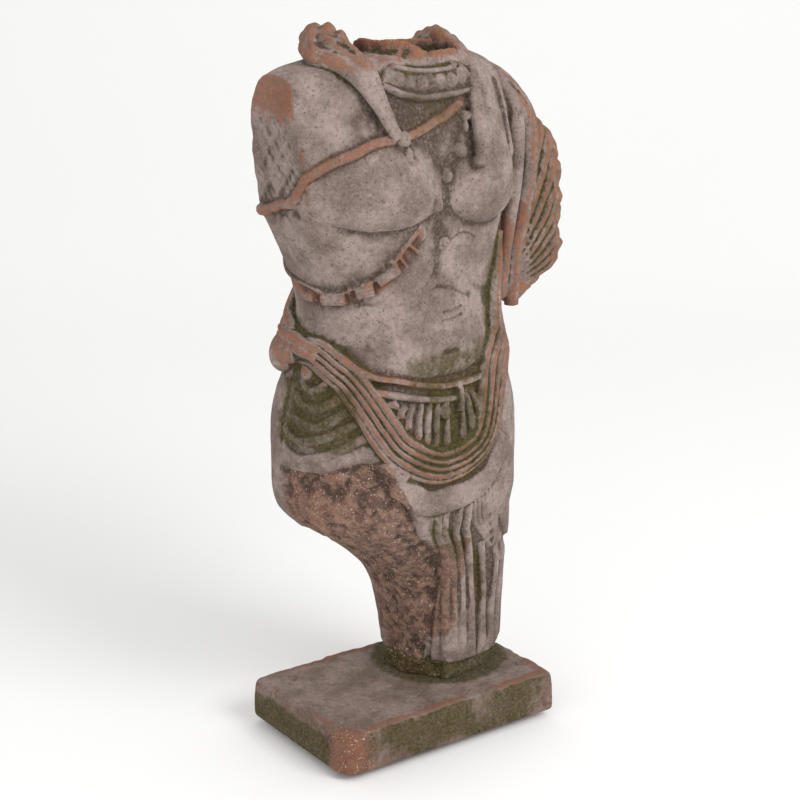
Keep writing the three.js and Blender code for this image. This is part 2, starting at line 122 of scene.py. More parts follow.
def rows_at(rows, x):
    """Each row's values at x, on cubics through the rows whose slope is the mean of the neighbours'
    slopes weighted by the other's width, and zero at a turning point."""
    xs, values = rows[:, 0], rows[:, 1:]
    h = np.diff(xs)[:, None]
    d = np.diff(values, axis=0) / h
    inner = np.where(d[:-1] * d[1:] <= 0, 0, (d[:-1] * h[1:] + d[1:] * h[:-1]) / (h[:-1] + h[1:]))
    slope = np.vstack([d[:1], inner, d[-1:]])
    x = np.clip(x, xs[0], xs[-1])
    i = np.clip(np.searchsorted(xs, x) - 1, 0, len(h) - 1)
    t = ((x - xs[i]) / h[i, 0])[..., None]
    return ((1 + 2 * t) * (1 - t) ** 2 * values[i] + t * (1 - t) ** 2 * h[i] * slope[i]
            + t * t * (3 - 2 * t) * values[i + 1] + t * t * (t - 1) * h[i] * slope[i + 1])


def cloud(points, size, seed):
    """Value noise from -1 to 1: random values on a lattice of the given size, eased between."""
    lattice = np.random.default_rng(seed).uniform(-1, 1, (32, 32, 32))
    cell = points / size
    low = np.floor(cell).astype(int)
    t = cell - low
    t = t * t * (3 - 2 * t)
    total = np.zeros(points.shape[:-1])
    for corner in np.ndindex(2, 2, 2):
        weight = np.prod(np.where(corner, t, 1 - t), axis=-1)
        total += weight * lattice[tuple(np.moveaxis((low + corner) % 32, -1, 0))]
    return total


def rubble(x, forward, z):
    """Lumps of a broken face: crossed waves of three sizes, the finer the lower."""
    total = np.zeros(np.broadcast(x, forward, z).shape)
    for i, size in enumerate((52, 27, 15)):
        total = total + size / 52 * (np.sin(x / size * 5 + i * 2.1)
            * np.sin(forward / size * 5 + i * 1.3 + 0.7)
                                     * np.sin(z / size * 5 + i * 0.9 + 1.9))
    return total


def section_point(section, angle):
    """Point of a superellipse: half widths times the sine and cosine to the power two over the
    squareness. Returns the distance to the left and the distance forward."""
    cx, cf, left, right, front, back, square = np.moveaxis(section, -1, 0)
    s, c = np.sin(angle), np.cos(angle)
    x = cx + np.where(s > 0, left, right) * np.sign(s) * np.abs(s) ** (2 / square)
    forward = cf + np.where(c > 0, front, back) * np.sign(c) * np.abs(c) ** (2 / square)
    return x, forward


def swell(x, z):
    """Height of the flesh: each mound is one minus the squared distance, to a power that is low
    for a crisp edge and high for one that fades."""
    total = 0
    for cx, cz, across, up, down, height, soft, crisp in FLESH:
        dz = np.where(z > cz, (z - cz) / up, (z - cz) / down)
        r2 = ((x - cx) / across) ** 2 + dz ** 2
        below = ease(0.5 - 0.5 * dz / np.sqrt(r2 + 1e-9), 0, 1)
        total = total + height * np.clip(1 - r2, 0, None) ** (soft + (crisp - soft) * below)
    return total


def leg_break(x, forward, z):
    """One where the right leg's stone broke away, falling to nought over a few millimetres."""
    facing = ease(forward, -60, 10) * ease(205 + x, -10, 16)
    return np.where(x > 40, 0, facing * ease(rows_at(LEG_BREAK, x)[..., 0] - z, -4, 10))


def arm_wall(forward, z):
    """The broken face of the arm: a plane that leans out by a tenth of the way forward."""
    return -rows_at(ARM_BREAK, z)[..., 0] - 0.1 * np.clip(forward + 40, -30, 110)


def skin(angle, z):
    """Surface of the body at an angle from the front and a height: the section, moved out by the
    flesh and the outer cloth, in by the break, and stopped at the plane of the lost arm."""
    angle, z = np.broadcast_arrays(np.asarray(angle, float), np.asarray(z, float))
    section = rows_at(BODY, z)
    x, forward = section_point(section, angle)
    cx, cf, left, right, front, back, _ = np.moveaxis(section, -1, 0)
    nx = (x - cx) / np.where(x > cx, left, right) ** 2
    nf = (forward - cf) / np.where(forward > cf, front, back) ** 2
    size = np.hypot(nx, nf) + 1e-12
    flesh = swell(x, z) * np.clip(3 * np.cos(angle), 0, 1)
    turn = np.degrees(angle) % 360
    turn = np.where(turn > 230, turn - 360, turn)
    hem = rows_at(OUTER_HEM, turn)[..., 0]
    cloth = 7 * ease(turn, 22, 44) * ease(222 - turn, 0, 20) * ease(z, hem - 2, hem + 2) * ease(660 - z, 0,
        60)
    foot = 11 * ease(-turn, 2, 26) * ease(130 + turn, 0, 30) * ease(97 - z, 0, 4)
    out = cloth + foot - leg_break(x, forward, z) * (10 - 5 * rubble(x, forward, z))
    x = x + nx / size * (flesh * 0.4 + out)
    forward = forward + nf / size * (flesh + out)
    wall = arm_wall(forward, z)
    x = np.where(x < wall, wall + 2 * rubble(0, forward, z), x)
    return np.stack([x, -forward, z], -1)


def skin_normal(angle, z):
    """Outward direction of the skin: the cross product of its slopes round and up."""
    around = skin(angle + 0.02, z) - skin(angle - 0.02, z)
    up = skin(angle, np.minimum(z + 3, NECK_Z)) - skin(angle, z - 3)
    normal = np.cross(around, up)
    return normal / np.linalg.norm(normal, axis=-1, keepdims=True)


def closed_rings(rings):
    """Points and triangles of a tube of rings: two triangles between neighbouring points, and a fan
    to a middle point at each end."""
    n, m = rings.shape[:2]
    index = np.arange(n * m).reshape(n, m)
    turned = np.roll(index, -1, axis=1)
    walls = [np.stack(corner, -1).reshape(-1, 3) for corner in (
        (index[:-1], turned[:-1], turned[1:]), (index[:-1], turned[1:], index[1:]))]
    start = np.stack([turned[0], index[0], np.full(m, n * m)], -1)
    end = np.stack([index[-1], turned[-1], np.full(m, n * m + 1)], -1)
    points = np.vstack([rings.reshape(-1, 3), rings[0].mean(0), rings[-1].mean(0)])
    return points, np.vstack([*walls, start, end])


castings = []
turns = np.linspace(0, 2 * math.pi, 480, endpoint=False)
heights = np.concatenate([[FOOT_Z], np.arange(70, 90, 4), np.arange(90, 98, 1), np.arange(100, NECK_Z, 2.5),
    [NECK_Z]])
body_rings = skin(turns[None, :], heights[:, None])
rim = body_rings[-1:] * 1.0
rim[..., 2] = rows_at(NECK_RIM, (np.degrees(turns) + 180) % 360 - 180)[..., 0]
HOLLOW_PLACE = np.array([12.0, -22.0, 0.0])  # middle of the dip in the neck's broken top
HOLLOW_FLOOR = np.array([0.0, 0.0, 1042.0])
HOLLOW_DROP = np.array([0.0, 0.0, 7.0])
hollow_rim = (rim - HOLLOW_PLACE) * (0.72, 0.72, 1) + HOLLOW_PLACE - HOLLOW_DROP
hollow_floor = (rim - HOLLOW_PLACE) * (0.3, 0.3, 0) + HOLLOW_PLACE + HOLLOW_FLOOR
castings.append(closed_rings(np.concatenate([body_rings, rim, hollow_rim, hollow_floor])))


# --- Shawl round the neck ----------------------------------------------------------------------
# A folded shawl laid round the back of the neck, part of the same casting. The right end comes
# down to the clasp of the chest strap, the left end is a rolled tip lying on the breast.
def spline(nodes, count):
    """Catmull-Rom curve through the nodes, evenly spaced along its length."""
    nodes = np.asarray(nodes, float)
    padded = np.vstack([2 * nodes[0] - nodes[1], nodes, 2 * nodes[-1] - nodes[-2]])
    at = np.linspace(0, len(nodes) - 1, 24 * len(nodes))
    i = np.minimum(at.astype(int), len(nodes) - 2)
    t = (at - i)[:, None]
    a, b, c, d = (padded[i + k] for k in range(4))
    curve = 0.5 * (2 * b + (c - a) * t + (2 * a - 5 * b + 4 * c - d) * t * t + (3 * b - a - 3 * c + d)
        * t ** 3)
    step = np.linalg.norm(np.diff(curve[:, :3], axis=0), axis=1)
    along = np.concatenate([[0], np.cumsum(step)])
    even = np.linspace(0, along[-1], count)
    return np.stack([np.interp(even, along, column) for column in curve.T], -1)


def unit(vectors):
    """Each vector divided by its length."""
    return vectors / (np.linalg.norm(vectors, axis=-1, keepdims=True) + 1e-12)


def lobes(u, ridges, groove):
    """Height of a bundle of rounded folds across u from -1 to 1: each is an arch, a sine to a low
    power, down to the valleys at its sides. Ridges are a count, or the places of the valleys."""
    if not np.any(ridges):
        return np.ones_like(u)
    cuts = np.linspace(0, 1, ridges + 1) if np.ndim(ridges) == 0 else np.asarray(ridges, float)
    t = np.clip((u + 1) / 2, 0, 1)
    i = np.clip(np.searchsorted(cuts, t) - 1, 0, len(cuts) - 2)
    arch = np.sin(math.pi * (t - cuts[i]) / (cuts[i + 1] - cuts[i]))
    return 1 - groove * (1 - np.abs(arch) ** 0.9)


def roll(nodes, ridges=0, groove=0.35, facing=(0, -1, 0), sides=40, drift=0.0):
    """Cloth roll that leaves the skin: an ellipse carried along a spline. Nodes are left, forward,
    height, half width and half thickness; the width stays square to the way it faces."""
    nodes = np.asarray(nodes, float)
    count = int(np.linalg.norm(np.diff(nodes[:, :3], axis=0), axis=1).sum() / 3) + 8
    line = spline(nodes, count)
    points = line[:, :3] * (1, -1, 1)
    along = unit(np.gradient(points, axis=0))
    side = unit(np.cross(along, np.broadcast_to(np.asarray(facing, float), along.shape)))
    up = unit(np.cross(side, along))
    a = np.linspace(0, 2 * math.pi, sides, endpoint=False)
    wander = drift * np.sin(np.linspace(0, 9, count))[:, None]
    fold = lobes(-np.cos(a)[None, :] + wander, ridges, groove)
    rings = (points[:, None] - side[:, None] * (np.cos(a)[None, :] * line[:, 3:4])[..., None]
             + up[:, None] * (np.sin(a)[None, :] * line[:, 4:5] * fold)[..., None])
    return closed_rings(rings)


NECK_RIGHT = [
    (0, -58, 1022, 18, 14), (-44, -60, 1036, 24, 17), (-84, -44, 1062, 30, 24), (-116, -14, 1077, 35, 26),
    (-136, 16, 1068, 37, 22), (-138, 48, 1062, 32, 18), (-135, 75, 1053, 26, 15), (-126, 95, 1033, 21, 13),
    (-112, 107, 999, 14, 11), (-101, 119, 967, 10, 9), (-96, 126, 952, 9, 9),
]
NECK_LEFT = [
    (0, -58, 1010, 18, 14), (46, -64, 1018, 20, 15), (84, -52, 1036, 20, 18), (98, -28, 1055, 19, 19),
    (97, 2, 1060, 18, 18), (98, 30, 1049, 14, 14), (92, 62, 1030, 12, 12), (76, 88, 1020, 11, 11),
    (64, 106, 1004, 11, 11), (61, 114, 986, 11, 11), (58, 125, 956, 11, 11), (54, 137, 923, 11, 11),
    (48, 143, 899, 10, 10),
]
castings.append(roll(NECK_RIGHT, ridges=(0, 0.28, 0.62, 1), groove=0.36, facing=(-0.3, -0.55, 0.8),
    sides=64))
castings.append(roll(NECK_LEFT, ridges=2, groove=0.14, facing=(0.2, -0.6, 0.8), sides=52))
castings.append(roll([(51, 140, 911, 13.5, 12.5), (49, 142, 901, 13.5, 12.5)], facing=(0.2, -0.6, 0.8)))


# --- Collar, strap and beads -------------------------------------------------------------------
# A broad jewelled collar under the throat, a chest strap that runs round the right side, and a
# string of beads from the collar to the amulets. All are low relief on the same casting.
DEGREE = 1.9  # millimetres of skin that one degree takes, about, where paths are spaced evenly


def band(nodes, width, thick, ridges=0, groove=0.45, sink=9.0, ends=0.5, across=None, drift=0.0,
        crown=0.85):
    """Band lying on the skin: a low arch with rounded folds, carried along a spline of degrees
    round, height and lift. Its height tapers at both ends and its foot is sunk under the skin."""
    nodes = np.array([tuple(node) + (0,) * (3 - len(node)) for node in nodes], float)
    wide = np.atleast_1d(np.asarray(width, float))
    rough = skin(np.radians(nodes[:, 0]), nodes[:, 1])
    count = int(np.linalg.norm(np.diff(rough, axis=0), axis=1).sum() / 2.5) + 8
    scaled = nodes * (DEGREE, 1, 1)
    line = spline(scaled, count) / (DEGREE, 1, 1)
    angle, z = np.radians(line[:, 0]), line[:, 1]
    normal = skin_normal(angle, z)
    points = skin(angle, z) + normal * line[:, 2:3]
    along = unit(np.gradient(points, axis=0))
    side = unit(np.cross(along, normal))
    up = unit(np.cross(side, along))
    t = np.linspace(0, 1, count)
    half = np.interp(t, np.linspace(0, 1, len(wide)), wide) / 2
    height = thick * (ends + (1 - ends) * ease(np.minimum(t, 1 - t), 0, 0.1))
    steps = across or max(9, int(wide.max() / 1.6)) | 1
    u = np.linspace(-1, 1, steps)
    wander = drift * np.sin(t * 11 + 1)[:, None]
    rise = height[:, None] * np.sqrt(1 - crown * u * u)[None, :] * lobes(u[None, :] + wander, ridges,
        groove)
    rings = points[:, None] + side[:, None] * (u[None, :] * half[:, None])[..., None] + up[:,
        None] * rise[..., None]
    foot = [points + side * (0.85 * k * half)[:, None] - up * sink for k in (1, -1)]
    return closed_rings(np.concatenate([rings, np.stack(foot, 1)], axis=1))


def bead(degrees, z, size, lift=0.0, power=1.0):
    """Ball flattened along the skin's normal: sines and cosines of two angles times the half sizes
    across, up and out. A power under one squares it off."""
    angle = np.radians(degrees)
    normal = skin_normal(np.array([angle]), np.array([float(z)]))[0]
    across = unit(np.cross((0, 0, 1.0), normal))
    up = np.cross(normal, across)
    lat = np.linspace(-math.pi / 2, math.pi / 2, 17)[1:-1, None]
    lon = np.linspace(0, 2 * math.pi, 28, endpoint=False)[None, :]

    def soft(v):
        """A sine or cosine to the power, with its sign kept."""
        return np.sign(v) * np.abs(v) ** power

    local = np.stack([soft(np.cos(lat) * np.cos(lon)), soft(np.cos(lat) * np.sin(lon)),
                      soft(np.sin(lat)) * np.ones_like(lon)], -1) * np.asarray(size, float)
    centre = skin(np.array([angle]), np.array([float(z)]))[0] + normal * lift
    return closed_rings(centre + local @ np.stack([across, up, normal]))


COLLAR = [(-20, 1036), (-13, 1027), (-4, 1019), (0, 1018), (5.5, 1018), (12, 1021), (18, 1028)]
COLLAR_RIM = [(-20, 1022), (-16, 1016), (-11, 1008), (-4.5, 1001), (2, 1000), (10.5, 1002), (17, 1008)]
THROAT_LINE = [(-21, 1047), (-14, 1042), (-7.5, 1037), (-1.5, 1034), (4.5, 1034), (12, 1038)]
BOSSES = [(-13, 1028), (-4.2, 1019), (0.6, 1019), (5.5, 1018), (10.5, 1021)]
castings.append(band(COLLAR, 28, 7, ends=0.9, crown=0.6))
castings.append(band(COLLAR_RIM, 12, 14, ends=0.9))
castings.append(band(THROAT_LINE, 8, 11, ends=0.9))
for turn, z in BOSSES:
    castings.append(bead(turn, z, (9.5, 9.5, 7), 6))
    castings.append(bead(turn, z, (4, 4, 5), 10))


STRAP = [
    (12, 993), (2, 974), (-6, 957), (-14.7, 951), (-25.7, 948), (-36.5, 934), (-48, 921), (-66.3, 895),
    (-79.9, 867), (-92, 853), (-108.7, 839), (-128, 836), (-146, 852), (-165, 884), (-184, 920),
    (-202, 950),
]
castings.append(band(STRAP, 15, 8, ridges=3, groove=0.5, across=25))
castings.append(bead(-15.5, 949, (11, 12, 11), 2, 0.6))
castings.append(bead(-14, 929, (6, 10, 6), 2))
castings.append(bead(-12.5, 916, (4, 6, 4), 1))

# degrees round, height, half width, half height, half thickness
BEADS = [
    (12.6, 997, 3, 6, 5), (12.2, 984, 7, 7, 8), (9.3, 967, 9, 8, 8), (8.6, 953, 4.5, 8, 6),
    (6.3, 936, 3, 6, 4),
    (5.2, 921, 9, 10, 7), (0.2, 887, 8.5, 11, 9), (-4.2, 851, 8.5, 11, 8), (0, 789, 8, 8, 6),
    (-9.5, 809, 6, 9, 5),
]
for turn, z, *size in BEADS:
    castings.append(bead(turn, z, size, 2))


# --- Amulets -----------------------------------------------------------------------------------
# A cord round the right side with tube-shaped amulet cases hanging under it, each with grooves
# along it.
AMULET_CORD = [
    (-9, 820), (-13, 806), (-17, 795), (-23, 778), (-31, 759), (-38, 748), (-46, 741), (-54, 734),
    (-60, 729),
    (-72, 727), (-80, 729), (-90, 734), (-102, 738), (-116, 746), (-132, 762), (-150, 790), (-172, 822),
    (-192, 850),
]
# one end, other end, width across
CASES = [
    ((-24, 764), (-37, 745), 17), ((-40, 734), (-51.5, 728), 18), ((-59, 720), (-76, 716), 18),
    ((-82, 717), (-88.5, 717), 15),
]
# short bars that stand across the cord
TICKS = [
    ((-17, 798), (-11.5, 780)), ((-22.5, 782), (-19, 762)), ((-27, 775), (-24, 766)),
    ((-46, 745), (-47, 735)),
    ((-55, 738), (-56, 726)), ((-78, 732), (-78.5, 722)),
]
castings.append(band(AMULET_CORD, 5, 5, across=9))
for start, end, width in CASES:
    middle = tuple((a + b) / 2 for a, b in zip(start, end))
    castings.append(band([start, middle, end], width, 12, ridges=3, groove=0.3, ends=0.9, across=25,
        crown=0.5))
for start, end in TICKS:
    middle = tuple((a + b) / 2 for a, b in zip(start, end))
    castings.append(band([start, middle, end], 4.5, 6, ends=0.8, across=7))


# --- Belt and gathered skirt -------------------------------------------------------------------
# A flat belt over a cord, tied in front with a loop, and the skirt gathered under it in small
# upright pleats.
BELT = [(-60, 628), (-51.8, 616), (-40, 603), (-25.3, 594), (-8.5, 582), (1.7, 577), (15.5, 578), (30, 592)]
castings.append(band(BELT, 12, 10, ridges=2, groove=0.3))
castings.append(band([(turn, z - 18 - i * 0.6) for i, (turn, z) in enumerate(BELT[:-2])] + [(1, 556)], 11,
    11))
castings.append(band([(2.5, 572), (2.2, 556), (1.6, 536)], 12, 15, ends=0.9))
castings.append(bead(-3.6, 541, (9, 11, 10), 6))
for turn in (-29, -24.5, -20.5, -15.5, -11, -7, -2.5, 2.5, 6.5, 10.5):
    low = 488 + 0.11 * (turn + 2) ** 2
    castings.append(band([(turn * 0.9, 560), (turn, (560 + low) / 2), (turn * 1.02, low)], (8, 13), 9,
        across=13))


# --- Swag and shawl behind ---------------------------------------------------------------------
# A thick rope of folds from a rolled knot on the right hip, low across the front and up the left
# side. Behind, the same cloth climbs from the knot to the left shoulder.
SWAG = [
    (-104, 640), (-92, 632), (-80, 630), (-67, 617), (-56, 600), (-43, 564), (-34, 529), (-26, 500),
    (-14, 472),
    (-4, 460), (4, 466), (12, 487), (21, 545), (31, 590), (44, 630), (54, 672), (62, 718), (68, 770),
]
SWAG_VALLEYS = (0, 0.25, 0.44, 0.62, 0.84, 1)
BACK_SHAWL = [
    (-96, 628), (-112, 638, 8), (-130, 655, 8), (-150, 696, 0), (-172, 752, -2), (-192, 806), (-208, 858),
    (-222, 910), (-238, 958), (-250, 990),
]
castings.append(band(SWAG, (46, 50, 56, 60, 70, 64, 58), 20, ridges=SWAG_VALLEYS, groove=0.5, sink=12,
    drift=0.03, across=61))
castings.append(band(BACK_SHAWL, (56, 70, 84), 15, ridges=4, groove=0.45, sink=12, drift=0.04))
castings.append(band([(-124, 648, 4), (-110, 638, 4), (-92, 634, 2), (-74, 628)], (32, 36, 24), 26,
    ridges=2, groove=0.25))
castings.append(bead(-111, 620, (34, 34, 26), 6))
castings.append(bead(-124, 646, (30, 32, 20), 6))
castings.append(bead(-97, 620, (16, 14, 16), 12))


# --- Skirt -------------------------------------------------------------------------------------
# The outer cloth ends in a curved hem under the swag; folds are drawn round the right thigh, and
# long pleats and looped folds run down the leg to the hem above the foot pad.
castings.append(band([(-36, 478), (-24, 440), (-12, 407), (-2, 402), (8, 406), (20, 425), (32, 470)], 40,
    9))
THIGH_FOLDS = [
    [(-88, 592), (-84, 584), (-79, 580), (-72, 588), (-68, 598)],
    [(-90, 566), (-84, 557), (-76.7, 556), (-68, 563), (-60, 576)],
    [(-92, 542), (-85, 531), (-75.3, 530), (-64.9, 541), (-53, 560)],
    [(-94, 516), (-89, 505), (-81.7, 504), (-64.3, 520), (-47, 543)],
    [(-95, 490), (-90, 479), (-81.8, 477), (-61, 497), (-42, 522)],
]
for fold in THIGH_FOLDS:
    castings.append(band(fold, 13, 6, across=13))
castings.append(band([(-103, 606), (-102, 545), (-102, 470)], 26, 3, ends=0.3))
castings.append(bead(-85, 604, (13, 12, 7), 0))
PLEATS = [
    [(-5, 380), (-13, 292), (-27, 207), (-32, 98)], [(-2, 382), (-9, 290), (-20, 205), (-25, 97)],
    [(2.5, 384), (-3.5, 288), (-12, 203), (-15, 97)], [(7, 384), (1, 284), (-4, 197), (-5, 97)],
    [(12, 300), (9, 270), (5, 189), (5, 97)], [(27, 276), (24, 240), (17, 180), (15, 97)],
    [(40, 276), (34, 230), (28, 170), (26, 97)],
    [(56, 270, -3), (48, 220, -3), (42, 160, -3), (40, 97, -2)],
    [(74, 270, -4), (64, 220, -4), (58, 160, -4), (56, 97, -3)],
]
for pleat in PLEATS:
    castings.append(band(pleat, (12, 17), 9, across=15))
for i in range(5):
    low = 288 + 16 * i
    loop = [(8.5 + i * 2.2, 424), (10.5 + i * 2, low + 56), (19.5 + i * 0.3, low), (28 - i * 1.4, low + 44),
        (31 - i * 1.8, 424)]
    castings.append(band(loop, 8, 5, across=9))


# --- Left shoulder -----------------------------------------------------------------------------
# The cloth that hung over the lost left arm, broken off ragged at its outer edge, its folds
# fanning out from the rolled tip, and the long roll of folds that comes over the shoulder.
ARM_CLOTH = np.array([
    (640, 232, 14, 14, 12, 12, 14, 2.0), (660, 246, 4, 36, 34, 24, 28, 2.6),
    (684, 256, -8, 76, 50, 34, 40, 3.0),
    (700, 258, -10, 88, 54, 36, 42, 3.2), (740, 258, -14, 90, 60, 38, 44, 3.2),
    (790, 258, -16, 92, 60, 40, 46, 3.2),
    (820, 258, -16, 90, 60, 40, 48, 3.2), (855, 256, -16, 86, 60, 40, 50, 3.2),
    (895, 252, -16, 76, 60, 40, 52, 3.0),
    (915, 246, -14, 62, 60, 38, 52, 2.6), (935, 234, -12, 48, 58, 36, 50, 2.4),
    (965, 214, -10, 40, 50, 34, 50, 2.3),
    (995, 180, -6, 28, 40, 26, 40, 2.2),
])
arm_turns = np.linspace(0, 2 * math.pi, 260, endpoint=False)[None, :]
arm_heights = np.linspace(640, 995, 180)[:, None]
x, forward = section_point(rows_at(ARM_CLOTH, arm_heights * np.ones_like(arm_turns)), arm_turns)
fold_angle = np.degrees(np.arctan2(arm_heights - 664, x - 208)) + 4 * np.sin((x - 208) / 40)
fold_reach = ease(np.hypot(x - 208, arm_heights - 664), 30, 90)
folds = (np.abs(np.sin(math.pi * fold_angle / 8)) ** 0.7 - 0.6) * 9 * fold_reach
forward = forward + np.sign(forward + 12) * folds * ease(np.abs(forward + 12), 8, 22)
x = x + np.where(x > 270, 4 * rubble(x, forward, arm_heights), 0) + ease(x, 290, 330) * folds * 0.9
castings.append(closed_rings(np.stack([x, -forward, arm_heights * np.ones_like(x)], -1)))

SHOULDER_ROLL = [
    (60, -10, 1022, 22, 14), (110, 8, 1022, 27, 17), (158, 24, 1005, 28, 19), (203, 32, 978, 25, 19),
    (232, 40, 940, 19, 17), (240, 44, 892, 16, 16), (237, 44, 836, 14, 15), (224, 46, 780, 13, 14),
    (211, 46, 728, 13, 13), (207, 45, 682, 13, 13), (206, 45, 644, 12, 12),
]
INNER_FOLD = [
    (118, 34, 1026, 16, 10), (160, 50, 1000, 15, 12), (186, 60, 964, 14, 12), (191, 66, 930, 13, 12),
    (192, 66, 890, 12, 12), (193, 62, 846, 11, 12), (192, 56, 800, 11, 11), (188, 50, 740, 10, 10),
    (184, 44, 660, 9, 9),
]
castings.append(roll(SHOULDER_ROLL, ridges=(0, 0.3, 0.62, 1), groove=0.4, facing=(0.45, -0.75, 0.45),
    sides=72, drift=0.03))
castings.append(roll(INNER_FOLD, facing=(0.3, -0.85, 0.4)))
castings.append(band([(43, 1018), (43, 991), (43, 958), (40, 926), (34, 896)], 8, 6))


# --- Casting -----------------------------------------------------------------------------------
# All of the figure's surfaces fused into one skin, as the mould gives it, then worn a little.
MM = 0.001
FUSE_STEP = 1.6  # spacing of the fused skin's points
TRIANGLES = 196000


def to_row(p):
    """Figure millimetres to row metres: a turn about the trunk's axis."""
    c, s = math.cos(TURN), math.sin(TURN)
    return np.stack([AXIS[0] + p[..., 0] * c - p[..., 1] * s, AXIS[1] + p[..., 0] * s + p[..., 1] * c,
        p[..., 2]], -1) * MM


def to_figure(p):
    """Row metres back to figure millimetres."""
    c, s = math.cos(TURN), math.sin(TURN)
    x, y = p[..., 0] / MM - AXIS[0], p[..., 1] / MM - AXIS[1]
    return np.stack([x * c + y * s, -x * s + y * c, p[..., 2] / MM], -1)


def mesh_object(name, points, triangles):
    """A mesh object from arrays of points and triangles."""
    mesh = bpy.data.meshes.new(name)
    mesh.vertices.add(len(points))
    mesh.vertices.foreach_set("co", np.asarray(points, np.float32).ravel())
    mesh.loops.add(3 * len(triangles))
    mesh.loops.foreach_set("vertex_index", np.asarray(triangles, np.int32).ravel())
    mesh.polygons.add(len(triangles))
    mesh.polygons.foreach_set("loop_start", np.arange(0, 3 * len(triangles), 3, dtype=np.int32))
    mesh.update(calc_edges=True)
    made = bpy.data.objects.new(name, mesh)
    bpy.context.scene.collection.objects.link(made)
    return made


def bake(piece, kind, **settings):
    """Runs one modifier on the piece and keeps the mesh that it makes."""
    modifier = piece.modifiers.new(kind.lower(), kind)
    for key, value in settings.items():
        setattr(modifier, key, value)
    made = bpy.data.meshes.new_from_object(piece.evaluated_get(bpy.context.evaluated_depsgraph_get()))
    piece.modifiers.clear()
    old, piece.data = piece.data, made
    bpy.data.meshes.remove(old)


def read(piece):
    """Points, outward directions and edges of a piece's mesh."""
    mesh = piece.data
    points = np.empty(len(mesh.vertices) * 3, np.float32)
    mesh.vertices.foreach_get("co", points)
    normals = np.empty(len(mesh.vertices) * 3, np.float32)
    mesh.vertex_normals.foreach_get("vector", normals)
    edges = np.empty(len(mesh.edges) * 2, np.int32)
    mesh.edges.foreach_get("vertices", edges)
    return points.reshape(-1, 3).astype(float), normals.reshape(-1, 3).astype(float), edges.reshape(-1, 2)


def neighbour_mean(values, edges, times=1):
    """Each point's value replaced by the mean of its neighbours' values, a number of times."""
    count = len(values)
    degree = np.bincount(edges.ravel(), minlength=count).astype(float)
    columns = values.reshape(count, -1)
    for _ in range(times):
        columns = np.stack([
            (np.bincount(edges[:, 0], column[edges[:, 1]], count) + np.bincount(edges[:, 1],
            column[edges[:, 0]], count))
            / np.maximum(degree, 1) for column in columns.T], -1)
    return columns.reshape(values.shape)


def write(piece, points):
    """Puts moved points back into a piece's mesh."""
    piece.data.vertices.foreach_set("co", np.asarray(points, np.float32).ravel())
    piece.data.update()


offset = np.cumsum([0] + [len(points) for points, _ in castings])
torso = mesh_object(
    "torso_cast", to_row(np.vstack([points for points, _ in castings])),
    np.vstack([triangles + start for (_, triangles), start in zip(castings, offset)]))
bake(torso, "REMESH", mode="VOXEL", voxel_size=FUSE_STEP * MM, use_smooth_shade=True)


def on_skin(nodes, count=60):
    """Points along a spline of degrees round and height on the skin."""
    line = spline(np.asarray(nodes, float) * (DEGREE, 1), count) / (DEGREE, 1)
    return skin(np.radians(line[:, 0]), line[:, 1])


def far(points, line):
    """Distance from each point to the nearest stretch of a line of points."""
    best = np.full(len(points), 1e9)
    low, high = line.min(0) - 60, line.max(0) + 60
    close = np.all((points > low) & (points < high), axis=1)
    near = points[close]
    found = np.full(len(near), 1e9)
    for a, b in zip(line[:-1], line[1:]):
        ab = b - a
        t = np.clip((near - a) @ ab / (ab @ ab + 1e-9), 0, 1)
        found = np.minimum(found, np.linalg.norm(near - a - t[:, None] * ab, axis=1))
    best[close] = found
    return best


def broken(p):
    """How far each point belongs to a break: the right thigh and leg, the arm, the neck's rim."""
    x, forward, z = p[:, 0], -p[:, 1], p[:, 2]
    leg = leg_break(x, forward, z)
    web = ease(330 - z, 0, 12) * ease(60 - x, 0, 30) * ease(z, 95, 110) * ease(z, 100 + x, 130 + x)
    arm = ease(arm_wall(forward, z) + 5 - x, 0, 3) * ease(z, 815, 835)
    neck = ease(z, 1044, 1062) * ease(92 - np.hypot(x - 8, forward - 24), 0, 16)
    return leg, np.maximum(leg, web), arm, neck


p_row, normal, edges = read(torso)
smoothed = neighbour_mean(p_row, edges, 2)
KEPT = 0.3  # share of its own place that each point keeps when the skin is worn smooth
p = to_figure(KEPT * p_row + (1 - KEPT) * smoothed)
leg_zone, _, arm_zone, neck_zone = broken(p)
lump = ease(p[:, 2], 1050, 1068)
rise = 0.8 * cloud(p, 38, 1) + 0.35 * cloud(p, 13, 2)
rise = rise + leg_zone * (3.6 * cloud(p, 24, 4) + 2.2 * cloud(p, 12, 5) + 1.2 * cloud(p, 7, 6))
rise = rise + arm_zone * (1.8 * cloud(p, 22, 7) + 0.7 * cloud(p, 9, 8))
rise = rise + np.maximum(neck_zone, lump) * (3.2 * cloud(p, 22, 9) + 2.2 * cloud(p, 11, 10) + 0.9 * cloud(p,
    6, 11))
CREASES = [
    # nodes, half width, depth
    ([(-3, 630), (-1, 629), (2, 630)], 3.2, 6),
    ([(-2, 687), (3, 688), (8, 690)], 1.8, 2.6),
    ([(-3.5, 675), (2, 676), (7.5, 679)], 1.8, 2.6),
    ([(2, 905), (1, 860), (-2, 800), (-3, 745)], 14, 2.5),
    ([(3, 792), (7, 797), (12, 795), (17, 786)], 1.8, 1.8),
    ([(-49, 709), (-30, 703), (-16.5, 709), (-5.5, 720), (-0.5, 721), (15.5, 702)], 8, 3),
    ([(-60, 600), (-40, 592), (-22, 592), (-4, 589), (12, 592), (24, 604)], 5, 4),
]
for nodes, half, depth in CREASES:
    rise = rise - depth * np.exp(-(far(p, on_skin(nodes)) / half) ** 2)
write(torso, to_row(p) + normal * rise[:, None] * MM)
